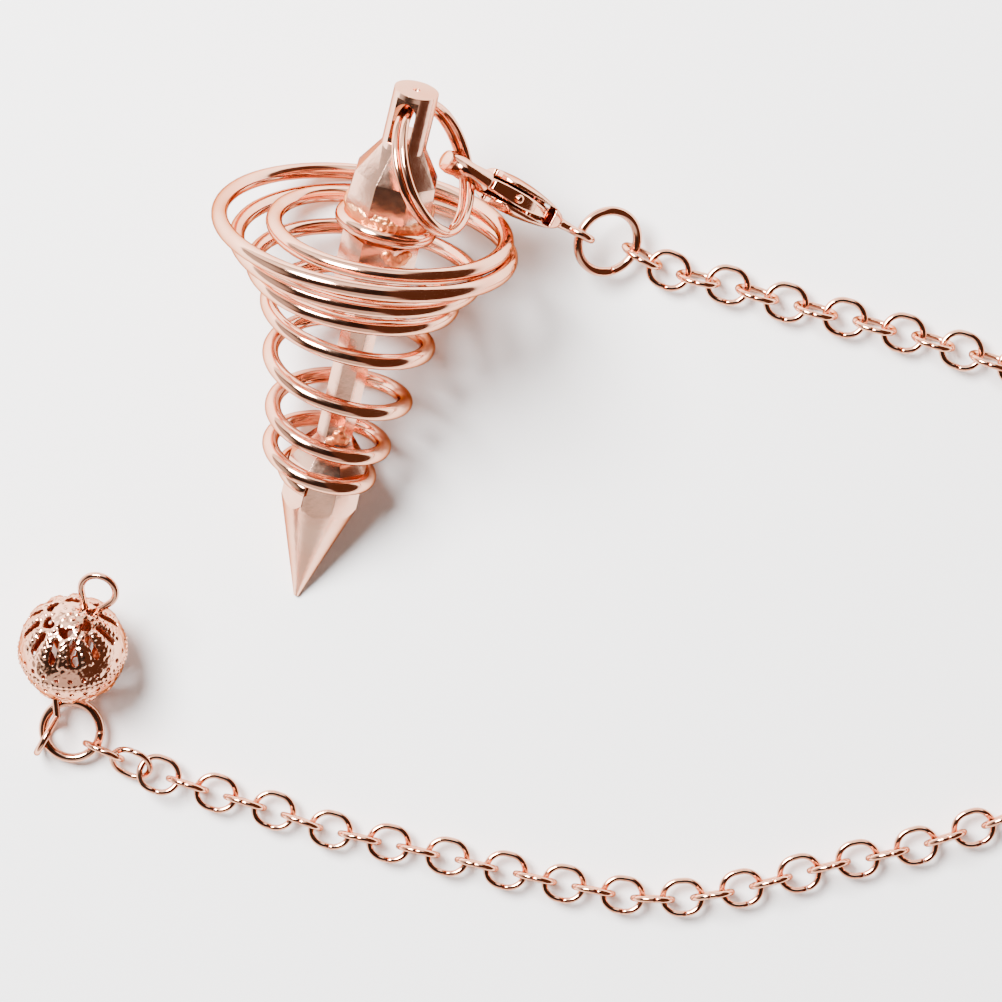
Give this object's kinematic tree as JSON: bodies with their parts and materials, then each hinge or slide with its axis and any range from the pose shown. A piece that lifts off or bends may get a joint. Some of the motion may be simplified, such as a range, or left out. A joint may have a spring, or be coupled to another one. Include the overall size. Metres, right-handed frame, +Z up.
{
  "type": "pendulum pendant",
  "caption": "Pointed octagonal spindle in a widening wire coil, on a split ring, lobster clasp, rolo chain and filigree bead.",
  "frame": {"origin": "on the surface the pendant lies on, under the middle of its box", "axes": "+Z up from the surface, +X along the longer side of the laid-out pendant, +Y across it"},
  "size_m": [0.1118, 0.0802, 0.0267],
  "materials": {
    "rose_gold": "mirror-polished rose-gold plate over brass"
  },
  "bodies": {
    "pendant": {"pendulum": "rose_gold", "split_ring": "rose_gold", "clasp_body": "rose_gold", "clasp_pin": "rose_gold", "clasp_ring": "rose_gold", "chain": "rose_gold", "end_ring": "rose_gold", "filigree_bead": "rose_gold", "bead_wire": "rose_gold"},
    "clasp_lever": {"clasp_lever": "rose_gold"}
  },
  "joints": [
    {"name": "clasp_lever_hinge", "type": "hinge", "parent": "pendant", "child": "clasp_lever", "pos_m": [-0.00782, 0.02811, 0.00814], "axis": [-0.4622, -0.8802, 0.1076], "range_deg": [0, 20], "stiffness_Nm_per_rad": 0.005, "springref_deg": -11.46}
  ]
}
